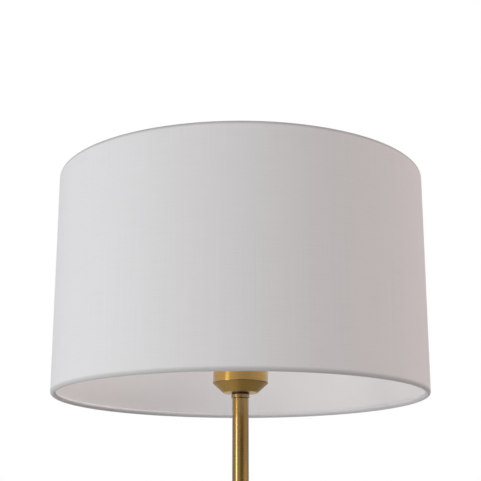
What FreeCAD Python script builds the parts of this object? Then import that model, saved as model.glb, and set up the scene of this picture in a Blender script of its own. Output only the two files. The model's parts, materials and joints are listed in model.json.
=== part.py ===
"""Upright floor lamp: weighted round base, three-section tube pole, brass socket cup and drum shade.

Millimetres, +Z up. The origin is the centre of the base on the floor, and the pole is the Z axis.
The front is -Y; the cord inlet is at the back, in the base's rim. One STEP per piece goes to parts/.
"""

import FreeCAD
import Part
import math
import os

# ---- Driving dimensions ----
TOTAL_HEIGHT = 1550.0
SHADE_RADIUS = 216.0
SHADE_HEIGHT = 257.0
TUBE_RADIUS = 9.5
TUBE_WALL = 1.2
POLE_SECTIONS = 3
CUP_RADIUS = 32.0
CUP_HEIGHT = 50.0
BASE_RADIUS = 130.0
BASE_HEIGHT = 26.0

# ---- Shared fits and stock ----
LOOSE = 0.05  # radial clearance of a screwed or pushed fit
GAP = 0.3  # gap between two pieces that move past each other
THREAD_RADIUS = 5.0  # M10 x 1 lamp thread
WASHER_BORE = THREAD_RADIUS + 0.2
NIPPLE_BORE = 3.6
JOINT_REACH = 17.0  # how far a joint nipple goes into each tube
FLEX_RADIUS = 2.7
CORE_RADIUS = 1.1
CORE_OFFSET = 1.3  # a core's centre from the flex's centre
OVERCUT = 1.0  # how far a cutting solid runs past what it cuts

# ---- Shade ----
FABRIC = 0.5
LINER = 0.6
WIRE_RADIUS = 2.5  # top and bottom rings
HEM_RADIUS = WIRE_RADIUS + 2 * LOOSE + FABRIC
HEM_TURN = 300.0  # how far the cloth wraps round the wire, degrees
ARM_RADIUS = 1.6
ARM_BEND = 4.0
ARM_SLIT = 0.2  # gap round an arm where it passes through the hem
ARM_ANGLES = (90.0, 210.0, 330.0)
HUB_RADIUS = 34.0
HUB_BORE = 21.0
HUB_THICKNESS = 1.5
LINER_MARGIN = 1.7  # gap between the lining and a rolled hem
ARM_LAP = 1.5  # an arm's end from the clamp ring's rim

# ---- Neck: collar, black washer and cup ----
COLLAR_RADIUS = 10.5
COLLAR_HEIGHT = 4.5
COLLAR_SPIGOT = 16.0
COLLAR_ROUNDING = 0.7
NECK_WASHER_RADIUS = 10.0
NECK_WASHER = 1.7
CUP_FOOT_RADIUS = 20.0
CUP_CONE = 11.0
CUP_FLOOR = 1.5
CUP_WALL = 1.0
CUP_SHOULDER_ROUNDING = 1.2
CUP_EDGE_ROUNDING = 0.4
LOCK_WASHER = 1.2
LOCK_WASHER_RADIUS = 9.0
LOCK_WASHER_SLIT = 0.8
CUP_NUT = 4.0
CUP_NUT_FLATS = 14.0
COVER_RING_LIP = 2.0
COVER_RING_SPIGOT = 4.0
COVER_RING_ROUNDING = 0.6
HEAD_NIPPLE_REACH = 14.0  # down into the collar
NIPPLE_ENTRY = 10.0  # up into the lampholder's boss
FLEX_STUB = 2.0  # flex left whole above the nipple

# ---- Lampholder, heights above the cup's foot ----
HOLDER_FOOT = 7.5
HOLDER_RADIUS = 20.5
HOLDER_SEAM = 29.0
HOLDER_TOP = 66.0
HOLDER_WALL = 2.1
BOSS_RADIUS = 8.0
BOSS_HEIGHT = 2.5
BOSS_CORE_HEIGHT = 10.5
GRUB_HEIGHT = BOSS_HEIGHT / 2
SKIRT_CREST = 19.8
SKIRT_ROOT = 19.2
SKIRT_PITCH = 2.0
SKIRT_BORE = 15.5
SKIRT_SHOULDER = 1.0  # above the contact block
SHELL_BORE = 13.7
SHELL_WALL = 0.6
SHELL_TOP = 58.0
GRUB_RADIUS = 1.0
BLOCK_FOOT = 25.0
BLOCK_TOP = 33.0
BLOCK_BORE = 1.6
TONGUE_WIDTH = 5.0
TONGUE = 0.5
TONGUE_LENGTH = 13.0
TONGUE_RISER = 10.0  # from the axis
TERMINAL = 4.5
TERMINAL_WIDTH = 6.0
TERMINAL_INNER = 8.5  # from the axis
TERMINAL_SCREW_RADIUS = 2.0
TERMINAL_SCREW = 1.6
TERMINAL_SLOT = 0.6
CLAMP_HEIGHT = 6.0
CLAMP_RADIUS = 27.5
CLAMP_NOTCHES = 12
NOTCH_RADIUS = 2.2
NOTCH_FLOOR = 1.5

# ---- Bulb, heights above the cup's foot ----
BULB_TIP = 37.0
BULB_RADIUS = 30.0
BULB_LENGTH = 108.0
CAP_CREST = 13.2
CAP_PITCH = 3.6
CAP_TURNS = 4
CAP_BORE = 10.5
CAP_FOOT = 5.4
CAP_TOP = 27.0
CAP_LEAD = 1.0  # plain run below the first ridge
CONTACT_RADIUS = 3.2
CONTACT_HEIGHT = 1.4
INSULATOR_FOOT_RADIUS = 5.6
INSULATOR_TOP_RADIUS = 11.2
BULB_NECK_RADIUS = 13.4
BULB_WALL = 1.5
BULB_NECK_SAG = 1.0
GLOBE_CUT = 11.0  # the globe starts this far below its centre
LED_BOARD = 1.6
DRIVER = (14.0, 10.0, 40.0)
DRIVER_FOOT = 9.0

# ---- Base ----
PAD = 2.5
COVER_WALL = 1.2
COVER_EDGE = 5.0
COVER_LIFT = 1.5  # the cover's rim clears the floor
RECESS_RADIUS = 22.0
CHANNEL_WIDTH = 7.0
FLEX_TURN = 6.0  # radius of the bend under the pole
INLET_BORE = 3.0
INLET_HEIGHT = 7.0
FLANGE_RADIUS = 24.0
FLANGE_CYLINDER = 4.0
FLANGE_CONE = 10.5
FLANGE_ROUNDING = 0.5
WEIGHT_GAP = 0.1
PAD_MARGIN = 5.0
PAD_INSET = 1.0  # round the recess
BASE_NIPPLE_REACH = 18.0  # up into the pole
BASE_NUT = 4.0
BASE_NUT_FLATS = 17.0
NUT_GAP = 1.0  # thread that shows below the nut
BASE_WASHER = 1.5
BASE_WASHER_RADIUS = 15.0
GROMMET_WALL = 1.2
GROMMET_LIP = 1.0
GROMMET_INNER = 3.2  # the bush's inner end from the rim
GROMMET_OUTER = 1.8
GROMMET_SHELF = 1.5
INLET_POCKET = 9.0
POLE_CHAMFER = 0.4
POLE_SEAT = 2.0  # the flange's floor, which the pole stands on

# ---- Heights worked out from the above ----
SHADE_FOOT = TOTAL_HEIGHT - SHADE_HEIGHT
CUP_FOOT = SHADE_FOOT + COLLAR_HEIGHT + NECK_WASHER
CUP_TOP = CUP_FOOT + CUP_HEIGHT
COVER_RING_TOP = CUP_TOP + COVER_RING_LIP
HUB_FOOT = COVER_RING_TOP + GAP
HUB_TOP = HUB_FOOT + HUB_THICKNESS
CLAMP_FOOT = HUB_TOP + GAP
POLE_FOOT = BASE_HEIGHT + POLE_SEAT
SECTION = (SHADE_FOOT - POLE_FOOT) / POLE_SECTIONS
TUBE_BORE = TUBE_RADIUS - TUBE_WALL
INSERT_LENGTH = 20.0
WIRE_CIRCLE = SHADE_RADIUS - HEM_RADIUS
NIPPLE_FOOT = INLET_HEIGHT + FLEX_TURN
RECESS_TOP = NIPPLE_FOOT + NUT_GAP + BASE_NUT + BASE_WASHER
WEIGHT_TOP = BASE_HEIGHT - COVER_WALL
HEAD_NIPPLE_TOP = CUP_FOOT + HOLDER_FOOT + NIPPLE_ENTRY
FLEX_TOP = HEAD_NIPPLE_TOP + FLEX_STUB
TERMINAL_HEIGHT = CUP_FOOT + BLOCK_FOOT - TERMINAL / 2
BULB_FOOT = CUP_FOOT + BULB_TIP


# ---- Shape helpers ----
def at(x, y, z):
    return FreeCAD.Vector(x, y, z)


UP = at(0, 0, 1)
BACK = at(0, 1, 0)
RIGHT = at(1, 0, 0)
SAME = 0.001  # points and circles nearer than this are the same one


class Outline:
    """A closed outline in the plane of radius and height, to be turned about the pole's axis."""

    def __init__(self, r, z):
        self.first = self.last = at(r, 0, z)
        self.edges = []

    def line(self, r, z):
        end = at(r, 0, z)
        self.edges.append(Part.LineSegment(self.last, end).toShape())
        self.last = end
        return self

    def arc(self, centre_r, centre_z, turn):
        """Turns about a centre by some degrees, positive from +radius towards +height."""
        centre = at(centre_r, 0, centre_z)
        spoke = self.last - centre
        start = math.atan2(spoke.z, spoke.x)

        def reached(share):
            angle = start + math.radians(turn) * share
            return centre + at(math.cos(angle), 0, math.sin(angle)) * spoke.Length

        middle, end = reached(0.5), reached(1.0)
        self.edges.append(Part.Arc(self.last, middle, end).toShape())
        self.last = end
        return self

    def turned(self):
        edges = list(self.edges)
        if self.last.distanceToPoint(self.first) > SAME:
            edges.append(Part.LineSegment(self.last, self.first).toShape())
        face = Part.Face(Part.Wire(edges))
        return face.revolve(at(0, 0, 0), UP, 360)


def disc(radius, foot, top):
    return Part.makeCylinder(radius, top - foot, at(0, 0, foot))


def ring(bore, radius, foot, top):
    return disc(radius, foot, top).cut(disc(bore, foot - OVERCUT, top + OVERCUT))


def hexagon(across_flats, bore, foot, top):
    corner = across_flats / math.sqrt(3)
    corners = []
    for k in range(7):
        angle = math.radians(60 * k)
        corners.append(at(corner * math.cos(angle), corner * math.sin(angle), foot))
    body = Part.Face(Part.makePolygon(corners)).extrude(at(0, 0, top - foot))
    return body.cut(disc(bore, foot - OVERCUT, top + OVERCUT))


def circle_edges(shape, radius, z):
    """The round edges of a shape at this radius and height."""
    found = []
    for edge in shape.Edges:
        if not isinstance(edge.Curve, Part.Circle):
            continue
        circle = edge.Curve
        if abs(circle.Radius - radius) < SAME and abs(circle.Center.z - z) < SAME:
            found.append(edge)
    return found


def round_off(shape, size, *circles):
    """Rounds the edges that lie on these (radius, height) circles."""
    edges = []
    for radius, z in circles:
        edges += circle_edges(shape, radius, z)
    return shape.makeFillet(size, edges)


def swept(edges, radius):
    """A round bar along joined straight and curved edges."""
    path = Part.Wire(edges)
    start = path.OrderedEdges[0]
    where, heading = start.valueAt(start.FirstParameter), start.tangentAt(start.FirstParameter)
    section = Part.Wire(Part.makeCircle(radius, where, heading))
    return path.makePipeShell([section], True, False)


def straight(a, b):
    return Part.LineSegment(a, b).toShape()


def turned_about_pole(shape, degrees):
    copy = shape.copy()
    copy.rotate(at(0, 0, 0), UP, degrees)
    return copy


# ---- Base ----
def base_cover():
    top, foot = BASE_HEIGHT, COVER_LIFT
    inside = BASE_RADIUS - COVER_WALL
    ceiling = top - COVER_WALL
    shell = (
        Outline(THREAD_RADIUS + LOOSE, top)
        .line(BASE_RADIUS - COVER_EDGE, top)
        .arc(BASE_RADIUS - COVER_EDGE, top - COVER_EDGE, -90)
        .line(BASE_RADIUS, foot)
        .line(inside, foot)
        .line(inside, top - COVER_EDGE)
        .arc(BASE_RADIUS - COVER_EDGE, top - COVER_EDGE, 90)
        .line(THREAD_RADIUS + LOOSE, ceiling)
        .turned()
    )
    return shell.cut(inlet_hole(INLET_BORE + GROMMET_WALL, BASE_RADIUS - INLET_POCKET, BASE_RADIUS + OVERCUT))


def inlet_hole(radius, start, end):
    return Part.makeCylinder(radius, end - start, at(0, start, INLET_HEIGHT), BACK)


def base_weight():
    """Poured block that fills the cover, with a recess for the nut and a channel for the flex."""
    radius = BASE_RADIUS - COVER_WALL - WEIGHT_GAP
    block = disc(radius, PAD, WEIGHT_TOP - LOOSE)
    block = round_off(block, COVER_EDGE - COVER_WALL + 2 * WEIGHT_GAP, (radius, WEIGHT_TOP - LOOSE))
    block = block.cut(disc(THREAD_RADIUS + LOOSE, PAD - OVERCUT, BASE_HEIGHT))
    block = block.cut(disc(RECESS_RADIUS, PAD - OVERCUT, RECESS_TOP))
    channel_height = INLET_HEIGHT + CHANNEL_WIDTH / 2 - PAD
    channel = Part.makeBox(
        CHANNEL_WIDTH, BASE_RADIUS, channel_height + OVERCUT, at(-CHANNEL_WIDTH / 2, 0, PAD - OVERCUT)
    )
    pocket = inlet_hole(2 * INLET_BORE, BASE_RADIUS - INLET_POCKET, BASE_RADIUS)
    return block.cut(channel).cut(pocket)


def base_pad():
    return ring(RECESS_RADIUS + PAD_INSET, BASE_RADIUS - PAD_MARGIN, 0, PAD)


def base_flange():
    """Turned foot of the pole, with the same 45 degree shoulder as the cup."""
    shoulder = BASE_HEIGHT + FLANGE_CYLINDER
    body = (
        Outline(THREAD_RADIUS + LOOSE, BASE_HEIGHT)
        .line(FLANGE_RADIUS, BASE_HEIGHT)
        .line(FLANGE_RADIUS, shoulder)
        .line(FLANGE_RADIUS - FLANGE_CONE, shoulder + FLANGE_CONE)
        .line(TUBE_RADIUS + LOOSE, shoulder + FLANGE_CONE)
        .line(TUBE_RADIUS + LOOSE, POLE_FOOT)
        .line(THREAD_RADIUS + LOOSE, POLE_FOOT)
        .turned()
    )
    return round_off(body, FLANGE_ROUNDING, (FLANGE_RADIUS, shoulder))


def base_nipple():
    return ring(NIPPLE_BORE, THREAD_RADIUS - LOOSE, NIPPLE_FOOT, POLE_FOOT + BASE_NIPPLE_REACH)


def base_nut():
    foot = NIPPLE_FOOT + NUT_GAP
    return hexagon(BASE_NUT_FLATS, THREAD_RADIUS, foot, foot + BASE_NUT)


def base_washer():
    return ring(WASHER_BORE, BASE_WASHER_RADIUS, RECESS_TOP - BASE_WASHER, RECESS_TOP)


def cord_grommet():
    """Flanged bush in the rim: lips inside and outside the cover's wall."""
    body_radius = INLET_BORE + GROMMET_WALL - LOOSE
    lip = body_radius + GROMMET_LIP
    inner, outer = BASE_RADIUS - GROMMET_INNER, BASE_RADIUS + GROMMET_OUTER
    inner_lip = inlet_hole(lip, inner, BASE_RADIUS - GROMMET_SHELF)
    outer_lip = inlet_hole(lip, BASE_RADIUS, outer)
    neck = inlet_hole(body_radius, inner, outer)
    bore = inlet_hole(INLET_BORE, inner - OVERCUT, outer + OVERCUT)
    return neck.fuse(inner_lip).fuse(outer_lip).removeSplitter().cut(bore)


# ---- Pole ----
def section_foot(k):
    return POLE_FOOT + k * SECTION


def pole_tube(k):
    """One pole section, with a small chamfer at the ends that meet another section."""
    foot, top = section_foot(k), section_foot(k + 1)
    body = (
        Outline(TUBE_BORE, foot)
        .line(TUBE_RADIUS - POLE_CHAMFER, foot)
        .line(TUBE_RADIUS, foot + POLE_CHAMFER)
        .line(TUBE_RADIUS, top - POLE_CHAMFER)
        .line(TUBE_RADIUS - POLE_CHAMFER, top)
        .line(TUBE_BORE, top)
    )
    return body.turned()


def pole_inserts():
    """Threaded plugs pressed into the tube ends; the collar closes the topmost one."""
    feet = [section_foot(0)]
    for k in range(1, POLE_SECTIONS):
        feet += [section_foot(k) - INSERT_LENGTH, section_foot(k)]
    plugs = [ring(THREAD_RADIUS, TUBE_BORE, foot, foot + INSERT_LENGTH) for foot in feet]
    return Part.makeCompound(plugs)


def joint_nipple(k):
    middle = section_foot(k)
    return ring(NIPPLE_BORE, THREAD_RADIUS - LOOSE, middle - JOINT_REACH, middle + JOINT_REACH)


# ---- Neck and cup ----
def pole_top_collar():
    """Ring that caps the tube, with a threaded spigot inside it."""
    foot, top = SHADE_FOOT, SHADE_FOOT + COLLAR_HEIGHT
    body = (
        Outline(THREAD_RADIUS, foot - COLLAR_SPIGOT)
        .line(TUBE_BORE, foot - COLLAR_SPIGOT)
        .line(TUBE_BORE, foot)
        .line(COLLAR_RADIUS, foot)
        .line(COLLAR_RADIUS, top)
        .line(THREAD_RADIUS, top)
        .turned()
    )
    return round_off(body, COLLAR_ROUNDING, (COLLAR_RADIUS, foot), (COLLAR_RADIUS, top))


def neck_washer():
    return ring(THREAD_RADIUS + 2 * LOOSE, NECK_WASHER_RADIUS, CUP_FOOT - NECK_WASHER, CUP_FOOT)


def socket_cup():
    """Turned cup: flat foot, 45 degree shoulder and a straight wall, open at the top."""
    shoulder = CUP_FOOT + CUP_CONE
    inner_foot = CUP_FOOT_RADIUS - CUP_EDGE_ROUNDING
    body = (
        Outline(THREAD_RADIUS + LOOSE, CUP_FOOT)
        .line(CUP_FOOT_RADIUS, CUP_FOOT)
        .line(CUP_RADIUS, shoulder)
        .line(CUP_RADIUS, CUP_TOP)
        .line(CUP_RADIUS - CUP_WALL, CUP_TOP)
        .line(CUP_RADIUS - CUP_WALL, shoulder + CUP_WALL / 2)
        .line(inner_foot, CUP_FOOT + CUP_FLOOR)
        .line(THREAD_RADIUS + LOOSE, CUP_FOOT + CUP_FLOOR)
        .turned()
    )
    body = round_off(body, CUP_SHOULDER_ROUNDING, (CUP_RADIUS, shoulder))
    return round_off(body, CUP_EDGE_ROUNDING, (CUP_FOOT_RADIUS, CUP_FOOT))


def cup_lock_washer():
    """Split ring between the cup's floor and its nut."""
    foot = CUP_FOOT + CUP_FLOOR
    washer = ring(WASHER_BORE, LOCK_WASHER_RADIUS, foot, foot + LOCK_WASHER)
    corner = at(0, -LOCK_WASHER_SLIT / 2, foot - LOCK_WASHER / 2)
    return washer.cut(Part.makeBox(LOCK_WASHER_RADIUS, LOCK_WASHER_SLIT, 2 * LOCK_WASHER, corner))


def cup_nut():
    foot = CUP_FOOT + CUP_FLOOR + LOCK_WASHER
    return hexagon(CUP_NUT_FLATS, THREAD_RADIUS, foot, foot + CUP_NUT)


def head_nipple():
    return ring(NIPPLE_BORE, THREAD_RADIUS - LOOSE, SHADE_FOOT - HEAD_NIPPLE_REACH, HEAD_NIPPLE_TOP)


def cup_cover_ring():
    """Screws on the lampholder and closes the cup; the shade's hub rests on it."""
    step = CUP_RADIUS - CUP_WALL - 4 * LOOSE
    body = (
        Outline(SKIRT_CREST + LOOSE, CUP_TOP - COVER_RING_SPIGOT)
        .line(step, CUP_TOP - COVER_RING_SPIGOT)
        .line(step, CUP_TOP)
        .line(CUP_RADIUS, CUP_TOP)
        .line(CUP_RADIUS, COVER_RING_TOP)
        .line(SKIRT_CREST + LOOSE, COVER_RING_TOP)
        .turned()
    )
    return round_off(body, COVER_RING_ROUNDING, (CUP_RADIUS, COVER_RING_TOP))


# ---- Lampholder ----
def holder_base():
    """Domed lower half, screwed on the nipple by its boss."""
    foot, seam = CUP_FOOT + HOLDER_FOOT, CUP_FOOT + HOLDER_SEAM
    dome = HOLDER_RADIUS - BOSS_RADIUS
    dome_centre = foot + BOSS_HEIGHT + dome
    body = (
        Outline(THREAD_RADIUS, foot)
        .line(BOSS_RADIUS, foot)
        .line(BOSS_RADIUS, foot + BOSS_HEIGHT)
        .arc(BOSS_RADIUS, dome_centre, 90)
        .line(HOLDER_RADIUS, seam)
        .line(HOLDER_RADIUS - HOLDER_WALL, seam)
        .line(HOLDER_RADIUS - HOLDER_WALL, dome_centre)
        .line(BOSS_RADIUS + HOLDER_WALL, foot + BOSS_CORE_HEIGHT)
        .line(THREAD_RADIUS, foot + BOSS_CORE_HEIGHT)
        .turned()
    )
    return body.cut(cross_bar(GRUB_RADIUS, THREAD_RADIUS - OVERCUT, BOSS_RADIUS + OVERCUT))


def cross_bar(radius, start, end):
    """A bar through the boss wall, at the grub screw's height."""
    height = CUP_FOOT + HOLDER_FOOT + GRUB_HEIGHT
    return Part.makeCylinder(radius, end - start, at(start, 0, height), RIGHT)


def holder_grub_screw():
    return cross_bar(GRUB_RADIUS - LOOSE, THREAD_RADIUS + LOOSE, BOSS_RADIUS)


def holder_contact_block():
    """Ceramic block that carries the contacts, clamped between the two halves."""
    radius = HOLDER_RADIUS - HOLDER_WALL - 4 * LOOSE
    return ring(BLOCK_BORE, radius, CUP_FOOT + BLOCK_FOOT, CUP_FOOT + BLOCK_TOP)


def holder_screw_shell():
    return ring(SHELL_BORE, SHELL_BORE + SHELL_WALL, CUP_FOOT + BLOCK_TOP, CUP_FOOT + SHELL_TOP)


def holder_centre_contact():
    """Bronze tongue under the bulb's tip: a foot on the block, a riser and a sprung top."""
    foot, top = CUP_FOOT + BLOCK_TOP, BULB_FOOT - GAP
    side, end = -TONGUE_WIDTH / 2, TONGUE_RISER + TONGUE
    base = Part.makeBox(TONGUE_LENGTH / 2, TONGUE_WIDTH, TONGUE, at(end - TONGUE_LENGTH / 2, side, foot))
    riser = Part.makeBox(TONGUE, TONGUE_WIDTH, top - foot, at(TONGUE_RISER, side, foot))
    tongue = Part.makeBox(TONGUE_LENGTH, TONGUE_WIDTH, TONGUE, at(end - TONGUE_LENGTH, side, top - TONGUE))
    return base.fuse(riser).fuse(tongue).removeSplitter()


def holder_terminals():
    """Two brass terminal blocks under the ceramic."""
    top = CUP_FOOT + BLOCK_FOOT
    corner = at(TERMINAL_INNER, -TERMINAL_WIDTH / 2, top - TERMINAL)
    block = Part.makeBox(TERMINAL, TERMINAL_WIDTH, TERMINAL, corner)
    return Part.makeCompound([turned_about_pole(block, angle) for angle in (0, 180)])


def holder_terminal_screws():
    """One slotted screw in the outer face of each terminal."""
    face, width = TERMINAL_INNER + TERMINAL, 3 * TERMINAL_SCREW_RADIUS
    head = Part.makeCylinder(TERMINAL_SCREW_RADIUS, TERMINAL_SCREW, at(face, 0, TERMINAL_HEIGHT), RIGHT)
    corner = at(face + TERMINAL_SCREW / 2, -width / 2, TERMINAL_HEIGHT - TERMINAL_SLOT / 2)
    slot = Part.makeBox(TERMINAL_SCREW, width, TERMINAL_SLOT, corner)
    screw = head.cut(slot)
    return Part.makeCompound([turned_about_pole(screw, angle) for angle in (0, 180)])


def holder_skirt():
    """Upper half: a shoulder on the seam, then a threaded barrel for the two rings."""
    seam, top = CUP_FOOT + HOLDER_SEAM, CUP_FOOT + HOLDER_TOP
    ceiling = CUP_FOOT + BLOCK_TOP + 2 * LOOSE
    thread_foot = CUP_FOOT + BLOCK_TOP + SKIRT_SHOULDER
    outline = Outline(HOLDER_RADIUS - HOLDER_WALL, seam).line(HOLDER_RADIUS, seam)
    outline.line(HOLDER_RADIUS, thread_foot).line(SKIRT_CREST, thread_foot)
    ridges = int((top - thread_foot) / SKIRT_PITCH - 0.5)
    for k in range(ridges):
        z = thread_foot + k * SKIRT_PITCH
        outline.line(SKIRT_CREST, z + 0.6 * SKIRT_PITCH)
        outline.line(SKIRT_ROOT, z + 0.8 * SKIRT_PITCH)
        outline.line(SKIRT_CREST, z + SKIRT_PITCH)
    outline.line(SKIRT_CREST, top).line(SKIRT_BORE, top)
    outline.line(SKIRT_BORE, ceiling).line(HOLDER_RADIUS - HOLDER_WALL, ceiling)
    return outline.turned()


def inner_flex():
    """The lead's run inside the lamp: from the inlet along the channel and up the pole."""
    lane = at(0, FLEX_TURN, INLET_HEIGHT)
    corner = at(0, 0, INLET_HEIGHT + FLEX_TURN)
    slack = FLEX_TURN * (1 - math.sqrt(0.5))
    bend = Part.Arc(lane, at(0, slack, INLET_HEIGHT + slack), corner).toShape()
    inlet_end = at(0, BASE_RADIUS - INLET_POCKET, INLET_HEIGHT)
    return swept([straight(inlet_end, lane), bend, straight(corner, at(0, 0, FLEX_TOP))], FLEX_RADIUS)


def holder_wires():
    """The flex's two cores, each bent out to its terminal."""
    turn = TERMINAL_HEIGHT - FLEX_TOP
    slack = turn * (1 - math.sqrt(0.5))
    start = at(CORE_OFFSET, 0, FLEX_TOP)
    middle = start + at(slack, 0, turn - slack)
    level = start + at(turn, 0, turn)
    bend = Part.Arc(start, middle, level).toShape()
    wire = swept([bend, straight(level, at(TERMINAL_INNER, 0, TERMINAL_HEIGHT))], CORE_RADIUS)
    return Part.makeCompound([turned_about_pole(wire, angle) for angle in (0, 180)])


# ---- Shade clamp ring ----
def shade_clamp_ring():
    """Screw ring that holds the hub down, with finger notches round its rim."""
    top = CLAMP_FOOT + CLAMP_HEIGHT
    body = ring(SKIRT_CREST + GAP, CLAMP_RADIUS, CLAMP_FOOT, top)
    centre = at(CLAMP_RADIUS + NOTCH_RADIUS / 4, 0, CLAMP_FOOT + NOTCH_FLOOR)
    notch = Part.makeCylinder(NOTCH_RADIUS, CLAMP_HEIGHT, centre)
    for k in range(CLAMP_NOTCHES):
        body = body.cut(turned_about_pole(notch, 360 / CLAMP_NOTCHES * k))
    return body


# ---- Bulb ----
def bulb_contact():
    seat = BULB_FOOT + CONTACT_HEIGHT
    outline = Outline(0, BULB_FOOT).line(CONTACT_RADIUS, BULB_FOOT)
    return outline.arc(CONTACT_RADIUS, seat, 90).line(0, seat).turned()


def bulb_insulator():
    foot, top = BULB_FOOT + CONTACT_HEIGHT, BULB_FOOT + CAP_FOOT
    outline = Outline(0, foot).line(INSULATOR_FOOT_RADIUS, foot)
    return outline.line(INSULATOR_TOP_RADIUS, top).line(0, top).turned()


def bulb_cap():
    """Screw cap with a rounded thread, drawn as closed rings."""
    foot, top = BULB_FOOT + CAP_FOOT, BULB_FOOT + CAP_TOP
    root = CAP_CREST - CAP_PITCH / 4
    outline = Outline(CAP_BORE, foot).line(root, foot).line(root, foot + CAP_LEAD)
    for k in range(CAP_TURNS):
        z = foot + CAP_LEAD + k * CAP_PITCH
        outline.arc(root, z + CAP_PITCH / 4, 180)
        outline.line(root, z + CAP_PITCH)
    outline.line(root, top).line(CAP_BORE, top)
    return outline.turned()


def bulb_profile(inset):
    """Housing and globe from the cap up, inset by a wall thickness: (neck, shoulder, centre)."""
    neck = at(BULB_NECK_RADIUS - inset, 0, BULB_FOOT + CAP_TOP)
    centre = BULB_FOOT + BULB_LENGTH - BULB_RADIUS
    radius = BULB_RADIUS - inset
    shoulder = at(math.sqrt(radius**2 - GLOBE_CUT**2), 0, centre - GLOBE_CUT)
    return neck, shoulder, centre


def bulb_housing():
    """White cone between the cap and the globe."""
    neck, shoulder, _ = bulb_profile(0.0)
    neck_in, shoulder_in, _ = bulb_profile(BULB_WALL)
    sag = at(-BULB_NECK_SAG, 0, 0)
    outer = Part.Arc(neck, (neck + shoulder) * 0.5 + sag, shoulder).toShape()
    inner = Part.Arc(shoulder_in, (neck_in + shoulder_in) * 0.5 + sag, neck_in).toShape()
    wire = Part.Wire([outer, straight(shoulder, shoulder_in), inner, straight(neck_in, neck)])
    return Part.Face(wire).revolve(at(0, 0, 0), UP, 360)


def bulb_diffuser():
    """Opal globe."""
    _, shoulder, centre = bulb_profile(0.0)
    inside = BULB_RADIUS - BULB_WALL
    rise = math.degrees(math.asin(GLOBE_CUT / BULB_RADIUS))
    rise_in = math.degrees(math.asin(GLOBE_CUT / inside))
    body = Outline(shoulder.x, shoulder.z).arc(0, centre, 90 + rise)
    body.line(0, centre + inside).arc(0, centre, -90 - rise_in)
    return body.turned()


def bulb_led_board():
    seat = bulb_profile(BULB_WALL)[1]
    return disc(seat.x - BULB_WALL, seat.z - LED_BOARD, seat.z)


def bulb_driver():
    """Small circuit in the bulb's neck."""
    width, depth, height = DRIVER
    return Part.makeBox(width, depth, height, at(-width / 2, -depth / 2, BULB_FOOT + DRIVER_FOOT))


# ---- Shade ----
def shade_fabric():
    """One strip of cloth: a straight wall whose ends are rolled round the two wires."""
    low = SHADE_FOOT + HEM_RADIUS
    high = TOTAL_HEIGHT - HEM_RADIUS
    outline = Outline(SHADE_RADIUS, high).line(SHADE_RADIUS, low)
    outline.arc(WIRE_CIRCLE, low, -HEM_TURN)
    outline.line(*rolled_end(low, HEM_RADIUS - FABRIC, 1))
    outline.arc(WIRE_CIRCLE, low, HEM_TURN)
    outline.line(SHADE_RADIUS - FABRIC, high)
    outline.arc(WIRE_CIRCLE, high, HEM_TURN)
    outline.line(*rolled_end(high, HEM_RADIUS, -1))
    outline.arc(WIRE_CIRCLE, high, -HEM_TURN)
    cloth = outline.turned()
    slit = swept(arm_path(), ARM_RADIUS + ARM_SLIT)
    for angle in ARM_ANGLES:
        cloth = cloth.cut(turned_about_pole(slit, angle))
    return cloth


def rolled_end(height, radius, side):
    """The point where a rolled hem stops, on its inner or outer face."""
    angle = math.radians(360 - HEM_TURN) * side
    return WIRE_CIRCLE + radius * math.cos(angle), height + radius * math.sin(angle)


def shade_liner():
    """Stiff lining that the cloth is laminated to; it butts on the two wires."""
    outside = SHADE_RADIUS - FABRIC
    margin = HEM_RADIUS + LINER_MARGIN
    return ring(outside - LINER, outside, SHADE_FOOT + margin, TOTAL_HEIGHT - margin)


def wire_ring(z):
    return Part.makeTorus(WIRE_CIRCLE, WIRE_RADIUS, at(0, 0, z))


def shade_bottom_ring():
    return wire_ring(SHADE_FOOT + HEM_RADIUS)


def shade_top_ring():
    return wire_ring(TOTAL_HEIGHT - HEM_RADIUS)


def spider_hub():
    return ring(HUB_BORE, HUB_RADIUS, HUB_FOOT, HUB_TOP)


def arm_path():
    """From a lap on the hub, round one bend and straight to the middle of the top ring's wire."""
    lap = HUB_TOP + ARM_RADIUS
    start, bend = at(CLAMP_RADIUS + ARM_LAP, 0, lap), at(HUB_RADIUS + 1, 0, lap)
    end = at(WIRE_CIRCLE, 0, TOTAL_HEIGHT - HEM_RADIUS)
    slope = (end - bend).normalize()
    into, out = bend - at(ARM_BEND, 0, 0), bend + slope * ARM_BEND
    turn = math.atan2(slope.z, slope.x)
    radius = ARM_BEND / math.tan(turn / 2)
    middle = into + at(radius * math.sin(turn / 2), 0, radius * (1 - math.cos(turn / 2)))
    return [straight(start, into), Part.Arc(into, middle, out).toShape(), straight(out, end)]


def spider_arms():
    """Three wires from the hub up to the top ring, each ending on the ring it is welded to."""
    arm = swept(arm_path(), ARM_RADIUS)
    arm = arm.cut(shade_top_ring()).cut(spider_hub())
    return Part.makeCompound([turned_about_pole(arm, angle) for angle in ARM_ANGLES])


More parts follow.
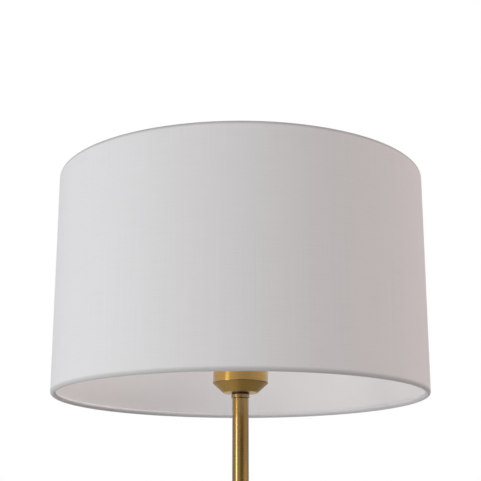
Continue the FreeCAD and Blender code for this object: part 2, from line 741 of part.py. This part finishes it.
PIECES = {
    "base_cover": base_cover,
    "base_weight": base_weight,
    "base_pad": base_pad,
    "base_flange": base_flange,
    "base_nipple": base_nipple,
    "base_nut": base_nut,
    "base_washer": base_washer,
    "cord_grommet": cord_grommet,
    "pole_lower": lambda: pole_tube(0),
    "pole_middle": lambda: pole_tube(1),
    "pole_upper": lambda: pole_tube(2),
    "pole_inserts": pole_inserts,
    "joint_nipple_lower": lambda: joint_nipple(1),
    "joint_nipple_upper": lambda: joint_nipple(2),
    "pole_top_collar": pole_top_collar,
    "neck_washer": neck_washer,
    "socket_cup": socket_cup,
    "cup_lock_washer": cup_lock_washer,
    "cup_nut": cup_nut,
    "head_nipple": head_nipple,
    "cup_cover_ring": cup_cover_ring,
    "holder_base": holder_base,
    "holder_grub_screw": holder_grub_screw,
    "holder_contact_block": holder_contact_block,
    "holder_screw_shell": holder_screw_shell,
    "holder_centre_contact": holder_centre_contact,
    "holder_terminals": holder_terminals,
    "holder_terminal_screws": holder_terminal_screws,
    "holder_skirt": holder_skirt,
    "inner_flex": inner_flex,
    "holder_wires": holder_wires,
    "shade_clamp_ring": shade_clamp_ring,
    "bulb_contact": bulb_contact,
    "bulb_insulator": bulb_insulator,
    "bulb_cap": bulb_cap,
    "bulb_housing": bulb_housing,
    "bulb_diffuser": bulb_diffuser,
    "bulb_led_board": bulb_led_board,
    "bulb_driver": bulb_driver,
    "shade_fabric": shade_fabric,
    "shade_liner": shade_liner,
    "shade_bottom_ring": shade_bottom_ring,
    "shade_top_ring": shade_top_ring,
    "spider_hub": spider_hub,
    "spider_arms": spider_arms,
}


def main():
    os.makedirs("parts", exist_ok=True)
    for name, build in PIECES.items():
        shape = build()
        solids = shape.Solids
        sound = all(solid.isValid() and solid.Volume > 0 for solid in solids)
        print(f"{name}: {len(solids)} solid(s), {shape.Volume / 1000:.3f} cm3, {'ok' if sound else 'BAD'}")
        shape.exportStep(f"parts/{name}.step")


main()
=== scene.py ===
import json
import math

import bpy
import numpy as np
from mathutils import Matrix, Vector


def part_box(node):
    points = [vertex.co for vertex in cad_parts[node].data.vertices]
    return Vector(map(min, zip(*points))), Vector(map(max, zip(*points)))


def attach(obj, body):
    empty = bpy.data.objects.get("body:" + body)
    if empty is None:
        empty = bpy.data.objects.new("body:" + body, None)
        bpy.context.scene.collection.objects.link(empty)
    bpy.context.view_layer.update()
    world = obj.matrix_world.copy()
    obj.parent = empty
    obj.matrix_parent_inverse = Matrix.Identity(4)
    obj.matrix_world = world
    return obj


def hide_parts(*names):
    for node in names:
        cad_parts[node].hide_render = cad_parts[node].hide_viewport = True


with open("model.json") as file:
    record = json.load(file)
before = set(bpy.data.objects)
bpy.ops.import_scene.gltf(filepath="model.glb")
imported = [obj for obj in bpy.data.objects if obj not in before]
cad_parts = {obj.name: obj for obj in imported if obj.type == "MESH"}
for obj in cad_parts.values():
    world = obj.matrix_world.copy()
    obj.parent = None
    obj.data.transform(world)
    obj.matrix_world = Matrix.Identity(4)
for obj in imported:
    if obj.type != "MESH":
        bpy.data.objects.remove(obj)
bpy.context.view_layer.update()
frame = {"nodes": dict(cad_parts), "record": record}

MM = 0.001


# ---- Measures read from the frame ----
def node_radius(node):
    """Half of a round upright node's width."""
    low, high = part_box(node)
    return (high.y - low.y) / 2


SHADE_LOW, SHADE_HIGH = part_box("shade_fabric")
SHADE_RADIUS = node_radius("shade_fabric")
WIRE_LOW, WIRE_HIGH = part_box("shade_bottom_ring")
WIRE_RADIUS = (WIRE_HIGH.z - WIRE_LOW.z) / 2
HEM_RADIUS = WIRE_LOW.z - SHADE_LOW.z + WIRE_RADIUS
HEM_CIRCLE = SHADE_RADIUS - HEM_RADIUS
GIRTH = 2 * math.pi * SHADE_RADIUS
NECK_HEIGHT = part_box("pole_top_collar")[1].z
COLLAR_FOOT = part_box("pole_upper")[1].z
CUP_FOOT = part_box("socket_cup")[0].z
CONE_HEIGHT = 11 * MM  # the cup's cone, from its foot to its shoulder
CUP_SHOULDER = CUP_FOOT + CONE_HEIGHT

# ---- Cloth and lining ----
CLOTH = 0.5 * MM
LINING = 0.6 * MM
LINING_GAP = 0.05 * MM  # between the cloth's inner face and the lining
OVERLAP = 15 * MM  # the strip's ends lap at the back
STRIP_LENGTH = GIRTH + OVERLAP
LAP_STEP = 0.55 * MM
LAP_RAMP = 5 * MM
SEAM_ANGLE = math.radians(90)  # at the back
HEM_TURN = math.radians(300)
RAW_EDGE_SHARE = 0.55  # the share of the turn after which the rolled cloth starts to pucker
PUCKER_RISE = 0.6  # how far a pucker moves up or down, for each millimetre that it moves out
THREAD = 0.55 * MM
HEM_PAINTED_SHADE_TONE = (0.47, 0.465, 0.465)  # painted shade on the rolled hems: their several layers of cloth let no light through, so the hems fall dark
FOOT_HEM_PAINTED_SHADE = 0.6
HEAD_HEM_PAINTED_SHADE = 0.8

# ---- Brass ----
BRASS_ROUGHNESS = 0.28
BRASS_SEAM_PAINTED_SHADE = 0.55
SEAM_CORE = 0.3 * MM  # a seam's painted shade is darkest this near its middle
SEAM_REACH = 0.8 * MM
CONE_EXTRA_ROUGHNESS = 0.20
MASK_EDGE = 0.5 * MM  # how softly a finish, and the painted light on the cup, fade into what is next to them

# ---- Camera ----
CAMERA_DISTANCE = 1.260
CAMERA_HEIGHT = 1.1378
CAMERA_PITCH = math.radians(15.24)
CAMERA_LENS = 81.8  # millimetres, on a sensor 36 mm wide

# ---- Floor and light ----
FLOOR_REACH = 400.0
AIM_HEIGHT = NECK_HEIGHT + 0.1  # a little below the shade's middle
COOL_LIGHT = (0.96, 0.985, 1.04)
WARM_LIGHT = (1.0, 0.98, 0.96)
SHADE_LIGHT = (1.0, 0.99, 1.0)
SHADE_LAMP_OFFSET = 95 * MM  # to the left of the pole
SHADE_LAMP_DROP = 20 * MM  # below the shade's top


# ---- Node materials ----
def add_node(tree, kind, inputs, settings):
    """Adds a node, sets its settings, and fills its inputs with sockets to link or with values."""
    made = tree.nodes.new(kind)
    for key, value in settings.items():
        setattr(made, key, value)
    for key, value in (inputs or {}).items():
        if isinstance(value, bpy.types.NodeSocket):
            tree.links.new(value, made.inputs[key])
        else:
            made.inputs[key].default_value = value
    return made


class Paint:
    """A Principled material whose colour, roughness and relief come from procedural nodes."""

    def __init__(self, name, colour, roughness, **sockets):
        self.material = bpy.data.materials.new(name)
        self.material.use_nodes = True
        self.tree = self.material.node_tree
        self.shader = self.tree.nodes["Principled BSDF"]
        self.colour = (*colour, 1.0)
        self.shader.inputs["Base Color"].default_value = self.colour
        self.shader.inputs["Roughness"].default_value = roughness
        for socket, value in sockets.items():
            self.shader.inputs[socket.replace("_", " ")].default_value = value

    def node(self, kind, inputs=None, **settings):
        return add_node(self.tree, kind, inputs, settings)

    def math(self, operation, a, b=0.0):
        return self.node("ShaderNodeMath", {0: a, 1: b}, operation=operation).outputs[0]

    def place(self, scale, source="Object"):
        """Coordinates in metres, in the frame or on the flat cloth, stretched along each axis."""
        where = self.node("ShaderNodeTexCoord").outputs[source]
        mapping = self.node("ShaderNodeMapping", {"Vector": where, "Scale": scale})
        return mapping.outputs["Vector"]

    def height(self):
        """The height above the floor, in metres."""
        where = self.node("ShaderNodeTexCoord").outputs["Object"]
        return self.node("ShaderNodeSeparateXYZ", {0: where}).outputs["Z"]

    def noise(self, scale, detail, rough=0.5, source="Object"):
        """Noise; the scale says roughly how many blotches there are in a metre, along each axis."""
        made = self.node(
            "ShaderNodeTexNoise",
            {"Vector": self.place(scale, source), "Scale": 1.0, "Detail": detail, "Roughness": rough},
        )
        return made.outputs["Fac"]

    def spread(self, value, low, high, start=0.3, end=0.7):
        """Maps a value, as it goes from start to end, onto low to high."""
        inputs = {"Value": value, 1: start, 2: end, 3: low, 4: high}
        return self.node("ShaderNodeMapRange", inputs).outputs["Result"]

    def tint(self, factor, other):
        """Blends the colour so far towards another one by a factor."""
        so_far = self.shader.inputs["Base Color"]
        first = so_far.links[0].from_socket if so_far.is_linked else self.colour
        mix = self.node("ShaderNodeMix", {0: factor, 6: first, 7: (*other, 1.0)}, data_type="RGBA")
        self.tree.links.new(mix.outputs[2], so_far)

    def gloss(self, factor):
        """Drives the roughness."""
        self.tree.links.new(factor, self.shader.inputs["Roughness"])

    def relief(self, height, depth, strength):
        """Adds a bump of this height map, depth in metres."""
        bump = self.node("ShaderNodeBump", {"Height": height, "Distance": depth, "Strength": strength})
        normal = self.shader.inputs["Normal"]
        if normal.is_linked:
            self.tree.links.new(normal.links[0].from_socket, bump.inputs["Normal"])
        self.tree.links.new(bump.outputs["Normal"], normal)


def scaled(colour, factor):
    return tuple(factor * part for part in colour)


def woven_cloth():
    """Plain-weave linen and cotton: threads, slubs along the weft, warp streaks, and painted shade on
    the hems.
    """
    paint = Paint("linen_cotton", (0.86, 0.85, 0.85), 0.86, Sheen_Weight=0.12, Sheen_Roughness=0.5)
    warp = paint.noise((900, 5, 1), 2, source="UV")
    slub = paint.noise((26, 1500, 1), 3, 0.6, source="UV")
    cloud = paint.noise((9, 7, 1), 2, source="UV")
    paint.tint(paint.spread(warp, 0.0, 0.16), (0.70, 0.685, 0.68))
    paint.tint(paint.spread(slub, 0.0, 0.30, 0.5, 0.8), (0.69, 0.67, 0.66))
    paint.tint(paint.spread(cloud, 0.0, 0.10), (0.88, 0.87, 0.875))
    height = paint.height()
    # Where each hem's painted shade fades, in radii of the hem from the shade's foot and from its top.
    foot = (SHADE_LOW.z + 0.8 * HEM_RADIUS, SHADE_LOW.z + 1.7 * HEM_RADIUS)
    head = (SHADE_HIGH.z - 1.5 * HEM_RADIUS, SHADE_HIGH.z - 0.6 * HEM_RADIUS)
    # Painted shade: the rolled hems darken towards the edges. This stands in for light that the thin
    # wall lets through and the hems' layers don't, and for shade on the rolls.
    paint.tint(paint.spread(height, FOOT_HEM_PAINTED_SHADE, 0.0, *foot), HEM_PAINTED_SHADE_TONE)
    paint.tint(paint.spread(height, 0.0, HEAD_HEM_PAINTED_SHADE, *head), HEM_PAINTED_SHADE_TONE)
    threads = paint.node("ShaderNodeSeparateXYZ", {0: paint.place((1 / THREAD, 1 / THREAD, 1), "UV")})
    turn = 2 * math.pi
    over = paint.math("SINE", paint.math("MULTIPLY", threads.outputs["X"], turn))
    under = paint.math("SINE", paint.math("MULTIPLY", threads.outputs["Y"], turn))
    weave = paint.math("MULTIPLY", over, under)
    paint.relief(weave, 0.05 * MM, 0.6)
    paint.relief(slub, 0.12 * MM, 0.5)
    paint.relief(warp, 0.06 * MM, 0.4)
    return paint.material


def lining_film():
    """Stiff white film behind the cloth, with the weave just showing through it."""
    paint = Paint("lining_film", (0.82, 0.805, 0.805), 0.62)
    through = paint.noise((400, 60, 1), 3, source="UV")
    mottle = paint.noise((14, 11, 1), 3, source="UV")
    paint.tint(paint.spread(through, 0.0, 0.10), (0.72, 0.69, 0.685))
    paint.tint(paint.spread(mottle, 0.0, 0.12), (0.85, 0.835, 0.83))
    paint.relief(through, 0.03 * MM, 0.5)
    return paint.material


def turned_brass(name, tone):
    """Satin brass brushed round its axis, under a thin lacquer.

    It has painted shade in a thin line at the cup's shoulder and at the collar's foot. The cup is
    painted lighter above its shoulder, a painted reflection, and its cone is duller, with less lacquer.
    """
    paint = Paint(
        name, tone, BRASS_ROUGHNESS, Metallic=1.0, Coat_IOR=1.65, Anisotropic_Rotation=0.25
    )
    tangent = paint.node("ShaderNodeTangent", direction_type="RADIAL", axis="Z")
    paint.tree.links.new(tangent.outputs[0], paint.shader.inputs["Tangent"])
    brushing = paint.noise((14, 14, 5200), 4, 0.65)
    coarse = paint.noise((9, 9, 900), 2)
    dull = paint.noise((35, 35, 22), 4, 0.6)
    darker = scaled(tone, 0.72)
    paint.tint(paint.spread(brushing, 0.0, 0.22), darker)
    paint.tint(paint.spread(coarse, 0.0, 0.12), scaled(tone, 1.16))
    paint.tint(paint.spread(dull, 0.0, 0.15, 0.45, 0.8), darker)
    height = paint.height()
    # Painted shade: a thin dark line at the cup's shoulder and at the collar's foot, for the dark
    # reflection and shade that fall there.
    for seam in (CUP_SHOULDER, COLLAR_FOOT):
        away = paint.math("ABSOLUTE", paint.math("SUBTRACT", height, seam))
        paint.tint(paint.spread(away, BRASS_SEAM_PAINTED_SHADE, 0.0, SEAM_CORE, SEAM_REACH), scaled(tone, 0.25))
    above_foot = paint.spread(height, 0.0, 1.0, CUP_FOOT - MASK_EDGE, CUP_FOOT)
    below_shoulder = paint.spread(height, 1.0, 0.0, CUP_SHOULDER - MASK_EDGE, CUP_SHOULDER + MASK_EDGE)
    cone = paint.math("MULTIPLY", above_foot, below_shoulder)
    # Painted reflection: the cup above its shoulder is lightened, standing in for the bright reflection
    # it catches inside the shade.
    painted_light_above_shoulder = paint.spread(height, 0.0, 0.9, CUP_SHOULDER, CUP_SHOULDER + MASK_EDGE)
    paint.tint(painted_light_above_shoulder, scaled(tone, 1.4))
    fine = paint.spread(brushing, 0.92 * BRASS_ROUGHNESS, 1.1 * BRASS_ROUGHNESS)
    paint.gloss(paint.math("ADD", fine, paint.math("MULTIPLY", cone, CONE_EXTRA_ROUGHNESS)))
    for socket, elsewhere, on_cone in (
        ("Anisotropic", 0.94, 0.2),
        ("Coat Roughness", 0.07, 0.5),
        ("Coat Weight", 1.0, 0.4),
    ):
        change = paint.spread(cone, elsewhere, on_cone, 0.0, 1.0)
        paint.tree.links.new(change, paint.shader.inputs[socket])
    paint.relief(brushing, 0.003 * MM, 0.1)
    return paint.material


def grained(name, colour, roughness, grain=900, depth=0.03 * MM, blotches=0.25, **sockets):
    """Moulded, painted or rubbery surface: fine grain in the relief, faint blotches in the colour."""
    paint = Paint(name, colour, roughness, **sockets)
    fine = paint.noise((grain,) * 3, 3, 0.6)
    blotch = paint.noise((60,) * 3, 3)
    paint.tint(paint.spread(blotch, 0.0, blotches), scaled(colour, 0.75))
    paint.gloss(paint.spread(fine, 0.85 * roughness, min(1.0, 1.15 * roughness)))
    paint.relief(fine, depth, 0.5)
    return paint.material


def plated(name, colour, roughness):
    """Plated or bare metal with short scratches."""
    paint = Paint(name, colour, roughness, Metallic=1.0)
    scratch = paint.noise((2600, 240, 900), 3, 0.7)
    spots = paint.noise((240,) * 3, 4, 0.6)
    paint.tint(paint.spread(spots, 0.0, 0.4, 0.45, 0.75), scaled(colour, 0.6))
    paint.gloss(paint.spread(scratch, 0.8 * roughness, 1.3 * roughness))
    paint.relief(scratch, 0.01 * MM, 0.3)
    return paint.material


def opal_globe():
    """Opal bulb: soft white with a smooth skin and a little light passing through."""
    paint = Paint(
        "opal",
        (0.87, 0.865, 0.85),
        0.28,
        Coat_Weight=0.3,
        Coat_Roughness=0.08,
        Subsurface_Weight=0.25,
        Subsurface_Radius=(4 * MM, 4 * MM, 4 * MM),
    )
    haze = paint.noise((55,) * 3, 3)
    paint.tint(paint.spread(haze, 0.0, 0.2), (0.80, 0.79, 0.76))
    paint.relief(paint.noise((1400,) * 3, 2), 0.01 * MM, 0.3)
    return paint.material


def circuit_board():
    """Green board, with cells that stand in for its parts and tracks."""
    paint = Paint("circuit_board", (0.05, 0.20, 0.09), 0.45)
    cells = paint.node("ShaderNodeTexVoronoi", {"Vector": paint.place((260,) * 3), "Scale": 1.0})
    paint.tint(paint.spread(cells.outputs["Distance"], 0.0, 0.8, 0.45, 0.5), (0.10, 0.30, 0.14))
    paint.relief(cells.outputs["Distance"], 0.2 * MM, 0.5)
    return paint.material


PAINTS = {
    "brass": turned_brass("satin_brass", (0.43, 0.25, 0.048)),
    "brass_inner": turned_brass("plain_brass", (0.68, 0.47, 0.20)),
    "zinc": plated("zinc_plate", (0.62, 0.63, 0.64), 0.32),
    "iron": grained("raw_iron", (0.045, 0.045, 0.048), 0.75, grain=500, depth=0.15 * MM, Metallic=0.4),
    "pad": grained("foam_rubber", (0.025, 0.025, 0.026), 0.95, grain=1500, depth=0.12 * MM),
    "black_plastic": grained("black_nylon", (0.012, 0.011, 0.010), 0.42),
    "holder_black": grained("phenolic", (0.018, 0.017, 0.017), 0.34, grain=1200, depth=0.02 * MM),
    "ceramic": grained(
        "glazed_ceramic", (0.82, 0.80, 0.75), 0.22, grain=300, depth=0.02 * MM, Coat_Weight=0.6
    ),
    "bronze": plated("spring_bronze", (0.58, 0.36, 0.19), 0.28),
    "flex_white": grained("flex_sheath", (0.70, 0.70, 0.69), 0.5),
    "core_colour": grained("core_insulation", (0.16, 0.09, 0.045), 0.45),
    "cap_metal": plated("spun_aluminium", (0.74, 0.74, 0.75), 0.26),
    "bulb_white": grained(
        "bulb_housing", (0.82, 0.82, 0.81), 0.38, grain=1500, depth=0.01 * MM, blotches=0.12
    ),
    "bulb_opal": opal_globe(),
    "bulb_black": grained("black_vitrite", (0.02, 0.02, 0.022), 0.12, grain=200, depth=0.01 * MM),
    "board": grained("masked_board", (0.78, 0.79, 0.79), 0.4),
    "circuit": circuit_board(),
    "shade_cloth": woven_cloth(),
    "shade_lining": lining_film(),
    "shade_wire": grained("epoxy_coat", (0.78, 0.77, 0.765), 0.38, grain=1100, blotches=0.15),
}


def paint_nodes():
    """Gives every CAD node the material of its slot in the record."""
    for entry in frame["record"]["subparts"]:
        node = frame["nodes"][entry["node"]]
        node.data.materials.clear()
        node.data.materials.append(PAINTS[entry["material_slot"]])


# ---- Mesh pieces ----
def add_piece(name, mesh, slot, body):
    piece = bpy.data.objects.new(name, mesh)
    bpy.context.scene.collection.objects.link(piece)
    mesh.materials.append(PAINTS[slot])
    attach(piece, body)
    return piece


def grid_mesh(name, points, measure):
    """A sheet from rows of points; measure gives each point's place on the flat cloth, in metres."""
    rows, columns = points.shape[:2]
    mesh = bpy.data.meshes.new(name)
    faces, corners = [], []
    for i in range(rows - 1):
        for j in range(columns - 1):
            here = i * columns + j
            below = here + columns
            faces.append((here, here + 1, below + 1, below))
            corners += [measure[i, j], measure[i, j + 1], measure[i + 1, j + 1], measure[i + 1, j]]
    mesh.from_pydata(points.reshape(-1, 3).tolist(), [], faces)
    layer = mesh.uv_layers.new(name="flat")
    layer.data.foreach_set("uv", np.array(corners, np.float32).ravel())
    mesh.shade_smooth()
    return mesh


def thicken(mesh, thickness):
    """Gives a sheet a thickness towards its back, as a plain mesh with no modifier left on it."""
    holder = bpy.data.objects.new("thicken", mesh)
    bpy.context.scene.collection.objects.link(holder)
    solid = holder.modifiers.new("thickness", "SOLIDIFY")
    solid.thickness = thickness
    solid.offset = -1.0
    solid.use_even_offset = True
    solid.use_quality_normals = True
    graph = bpy.context.evaluated_depsgraph_get()
    made = bpy.data.meshes.new_from_object(holder.evaluated_get(graph))
    name = mesh.name
    bpy.data.objects.remove(holder)
    bpy.data.meshes.remove(mesh)
    made.name = name
    made.set_sharp_from_angle(angle=math.radians(50))
    return made


def waves(angle, height, seeds):
    """Uneven waves, within +1 and -1, summed from a few fixed sine waves round the shade."""
    total = np.zeros(np.broadcast(angle, height).shape)
    for k, (around, along, phase) in enumerate(seeds):
        total = total + np.sin(around * angle + along * height + phase) / (k + 1)
    return total / sum(1 / (k + 1) for k in range(len(seeds)))


# Waves in a full turn, radians for each metre of height, and the phase.
RIPPLES = [(3, 9.0, 0.4), (7, -14.0, 1.9), (11, 21.0, 4.1), (17, 5.0, 2.7)]
PUCKERS = [(97, 0.0, 0.0), (151, 0.0, 1.3), (211, 0.0, 2.2), (263, 0.0, 5.0)]


def wrap_round(profile, count, ripple, pucker):
    """Sweeps a profile round the pole, with a lap at the back; ripple and pucker are in metres.

    Each point of the profile is a radius, a height, and how near the cloth's raw edge it is, 0 to 1.
    """
    along = np.linspace(0, STRIP_LENGTH, count)
    angle = SEAM_ANGLE + along / SHADE_RADIUS
    lap = np.clip((along - (GIRTH - LAP_RAMP)) / LAP_RAMP, 0, 1)
    lap = lap * lap * (3 - 2 * lap) * LAP_STEP
    radius = profile[:, 0][:, None] + lap[None, :]
    height = np.repeat(profile[:, 1][:, None], count, axis=1)
    bulge = waves(angle[None, :], height, RIPPLES) * ripple
    crumple = waves(angle[None, :], height, PUCKERS) * pucker * profile[:, 2][:, None]
    radius = radius + bulge * (1 - profile[:, 2][:, None]) + crumple
    height = height + PUCKER_RISE * crumple
    points = np.stack([radius * np.cos(angle), radius * np.sin(angle), height], axis=-1)
    steps = np.hypot(np.diff(profile[:, 0]), np.diff(profile[:, 1]))
    down = np.concatenate([[0], np.cumsum(steps)])
    measure = np.stack(np.broadcast_arrays(along[None, :], down[:, None]), axis=-1)
    return points, measure, down[-1]


def hem_arc(centre_height, turn, count):
    """A hem rolled round a wire, from the wall to the cloth's raw edge, as points of a profile."""
    share = np.linspace(0, 1, count)
    angle = turn * share
    near_edge = np.clip((share - RAW_EDGE_SHARE) / (1 - RAW_EDGE_SHARE), 0, 1) ** 2
    radius = HEM_CIRCLE + HEM_RADIUS * np.cos(angle)
    return np.stack([radius, centre_height + HEM_RADIUS * np.sin(angle), near_edge], axis=-1)


def make_shade_cloth():
    """One strip of cloth round the shade: a wall, with both edges rolled round their wires."""
    low = SHADE_LOW.z + HEM_RADIUS
    high = SHADE_HIGH.z - HEM_RADIUS
    bottom = hem_arc(low, -HEM_TURN, count=22)[::-1]
    top = hem_arc(high, HEM_TURN, count=22)
    heights = np.linspace(low, high, 36)[1:-1]
    wall = np.stack([np.full_like(heights, SHADE_RADIUS), heights, np.zeros_like(heights)], axis=-1)
    profile = np.concatenate([bottom, wall, top])
    points, measure, width = wrap_round(profile, count=620, ripple=0.12 * MM, pucker=0.22 * MM)
    mesh = thicken(grid_mesh("shade_cloth", points, measure), CLOTH)
    piece = add_piece("shade_cloth", mesh, "shade_cloth", "shade")
    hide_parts("shade_fabric")


def make_shade_lining():
    """The stiff film behind the cloth, lapped at the back like it."""
    low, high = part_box("shade_liner")
    heights = np.linspace(low.z, high.z, 12)
    radius = SHADE_RADIUS - CLOTH - LINING_GAP
    profile = np.stack([np.full_like(heights, radius), heights, np.zeros_like(heights)], axis=-1)
    points, measure, _ = wrap_round(profile, count=420, ripple=0.10 * MM, pucker=0.0)
    mesh = thicken(grid_mesh("shade_lining", points, measure), LINING)
    piece = add_piece("shade_lining", mesh, "shade_lining", "shade")
    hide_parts("shade_liner")


# ---- Stage, lights and camera ----
def make_floor():
    """A pale floor, large enough for its far edge to pass for the horizon."""
    mesh = bpy.data.meshes.new("floor")
    corners = [(x * FLOOR_REACH, y * FLOOR_REACH, 0) for x, y in ((-1, -1), (1, -1), (1, 1), (-1, 1))]
    mesh.from_pydata(corners, [], [(0, 1, 2, 3)])
    floor = bpy.data.objects.new("floor", mesh)
    bpy.context.scene.collection.objects.link(floor)
    pale = grained(
        "pale_floor",
        (0.86, 0.855, 0.85),
        0.8,
        grain=40,
        depth=0.1 * MM,
        blotches=0.05,
        Emission_Color=(1, 1, 1, 1),
        Emission_Strength=0.3,
    )
    mesh.materials.append(pale)
    floor.visible_diffuse = False  # the lamp is lit by the studio round it, not by the floor's glow
    floor.visible_glossy = False
    floor.visible_shadow = False


def add_light(name, shape, power, colour, *sizes):
    """An area light that the camera doesn't see."""
    light = bpy.data.lights.new(name, "AREA")
    light.shape = shape
    for side, size in zip(("size", "size_y"), sizes):
        setattr(light, side, size)
    light.energy = power
    light.color = colour
    lamp = bpy.data.objects.new(name, light)
    lamp.visible_camera = False
    bpy.context.scene.collection.objects.link(lamp)
    return lamp


def add_softbox(name, azimuth, distance, height, width, tall, power, colour):
    """A soft rectangle of light facing the shade; azimuth turns from the camera's side to the left."""
    lamp = add_light(name, "RECTANGLE", power, colour, width, tall)
    turn = math.radians(azimuth)
    lamp.location = (-distance * math.sin(turn), -distance * math.cos(turn), height)
    aim = Vector((0, 0, AIM_HEIGHT)) - lamp.location
    lamp.rotation_euler = aim.to_track_quat("-Z", "Y").to_euler()


def tinted(level, warmth=0.0):
    """A grey of this level; warmth shifts it towards red."""
    return (level * (1 + warmth), level * (1 - 0.3 * warmth), level * (1 - 0.5 * warmth), 1.0)


# Each band of the studio: how it fades in and out between straight below (0) and straight
# above (1), then its light round the lamp, from straight behind (0) over the left (0.25),
# the front (0.5) and the right (0.75) to behind again. The room is dark just right of the camera.
STUDIO_STRENGTH = 2.0
STUDIO_BANDS = [
    (
        [(0.0, 1.0), (0.40, 1.0), (0.49, 0.0)],
        [
            (0.0, tinted(0.50)),
            (0.05, tinted(0.45)),
            (0.09, tinted(0.20)),
            (0.25, tinted(0.38)),
            (0.44, tinted(0.32)),
            (0.49, tinted(0.12)),
            (0.58, tinted(0.09)),
            (0.64, tinted(0.16)),
            (0.75, tinted(0.18, 0.06)),
            (0.91, tinted(0.15)),
            (0.95, tinted(0.45)),
            (1.0, tinted(0.50)),
        ],
    ),
    (
        [(0.42, 0.0), (0.49, 1.0), (0.61, 1.0), (0.66, 0.0)],
        [
            (0.0, tinted(0.50)),
            (0.05, tinted(0.45)),
            (0.09, tinted(0.17)),
            (0.27, tinted(0.24)),
            (0.42, tinted(0.22)),
            (0.475, tinted(0.18)),
            (0.52, tinted(0.02)),
            (0.58, tinted(0.02)),
            (0.635, tinted(0.19, 0.06)),
            (0.68, tinted(0.30, 0.12)),
            (0.76, tinted(0.26, 0.12)),
            (0.82, tinted(0.18, 0.06)),
            (0.91, tinted(0.13)),
            (0.95, tinted(0.45)),
            (1.0, tinted(0.50)),
        ],
    ),
    (
        [(0.61, 0.0), (0.66, 1.0), (0.80, 1.0), (0.90, 0.0)],
        [
            (0.0, tinted(0.10)),
            (0.12, tinted(0.10)),
            (0.28, tinted(0.26)),
            (0.40, tinted(0.64)),
            (0.47, tinted(0.68)),
            (0.51, tinted(0.42)),
            (0.58, tinted(0.42)),
            (0.63, tinted(1.0, 0.10)),
            (0.88, tinted(1.0, 0.12)),
            (0.96, tinted(0.38, 0.08)),
            (1.0, tinted(0.10)),
        ],
    ),
]


def make_studio():
    """White surround for the camera; for everything else, the studio's bands of light."""
    world = bpy.data.worlds.new("studio")
    bpy.context.scene.world = world
    world.use_nodes = True
    tree = world.node_tree
    tree.nodes.clear()

    def node(kind, inputs=None, **settings):
        return add_node(tree, kind, inputs, settings)

    def ramp(source, stops):
        made = node("ShaderNodeValToRGB", {0: source})
        elements = made.color_ramp.elements
        elements[0].position, elements[0].color = stops[0]
        elements[1].position, elements[1].color = stops[-1]
        for position, colour in stops[1:-1]:
            elements.new(position).color = colour
        return made.outputs[0]

    def blend(kind, first, second):
        inputs = {0: 1.0, 6: first, 7: second}
        return node("ShaderNodeMix", inputs, data_type="RGBA", blend_type=kind).outputs[2]

    direction = node("ShaderNodeSeparateXYZ", {0: node("ShaderNodeTexCoord").outputs["Generated"]})
    front = node("ShaderNodeMath", {0: direction.outputs["Y"], 1: -1.0}, operation="MULTIPLY")
    turn = node("ShaderNodeMath", {0: direction.outputs["X"], 1: front.outputs[0]}, operation="ARCTAN2")
    share = node("ShaderNodeMapRange", {0: turn.outputs[0], 1: -math.pi, 2: math.pi})
    lift = node("ShaderNodeMapRange", {0: direction.outputs["Z"], 1: -1.0})
    total = (0.0, 0.0, 0.0, 1.0)
    for reach, light in STUDIO_BANDS:
        around = ramp(share.outputs[0], light)
        above = ramp(lift.outputs[0], [(place, (level, level, level, 1.0)) for place, level in reach])
        band = blend("MULTIPLY", around, above)
        total = blend("ADD", band, total)
    studio = node("ShaderNodeBackground", {"Color": total, "Strength": STUDIO_STRENGTH})
    white = node("ShaderNodeBackground", {"Color": (1, 1, 1, 1)})
    camera_ray = node("ShaderNodeLightPath").outputs["Is Camera Ray"]
    seen = node("ShaderNodeMixShader", {0: camera_ray, 1: studio.outputs[0], 2: white.outputs[0]})
    node("ShaderNodeOutputWorld", {0: seen.outputs[0]})


def make_lights():
    """Three softboxes at the left, and a lamp for the light that the cloth lets into the shade."""
    add_softbox(
        "key",
        azimuth=57,
        distance=2.4,
        height=NECK_HEIGHT - 0.1,
        width=0.8,
        tall=1.4,
        power=13.5,
        colour=COOL_LIGHT,
    )
    add_softbox(
        "key_above",
        azimuth=70,
        distance=1.6,
        height=NECK_HEIGHT + 2.0,
        width=1.0,
        tall=0.8,
        power=3.0,
        colour=COOL_LIGHT,
    )
    add_softbox(
        "low_strip",
        azimuth=57,
        distance=2.0,
        height=NECK_HEIGHT - 0.6,
        width=0.15,
        tall=0.42,
        power=2.2,
        colour=WARM_LIGHT,
    )
    inside = add_light("shade_fill", "DISK", 0.28, SHADE_LIGHT, HEM_CIRCLE)
    inside.location = (-SHADE_LAMP_OFFSET, 0, SHADE_HIGH.z - SHADE_LAMP_DROP)


def make_camera():
    """Looks up at the shade from a little below it, from the front."""
    camera = bpy.data.objects.new("camera", bpy.data.cameras.new("camera"))
    bpy.context.scene.collection.objects.link(camera)
    camera.location = (0, -CAMERA_DISTANCE, CAMERA_HEIGHT)
    camera.rotation_euler = (math.radians(90) + CAMERA_PITCH, 0, 0)
    camera.data.lens = CAMERA_LENS
    camera.data.sensor_width = 36.0
    bpy.context.scene.camera = camera


bpy.context.scene.view_settings.view_transform = "Standard"
make_camera()
make_studio()
make_lights()
make_floor()
paint_nodes()
make_shade_cloth()
make_shade_lining()
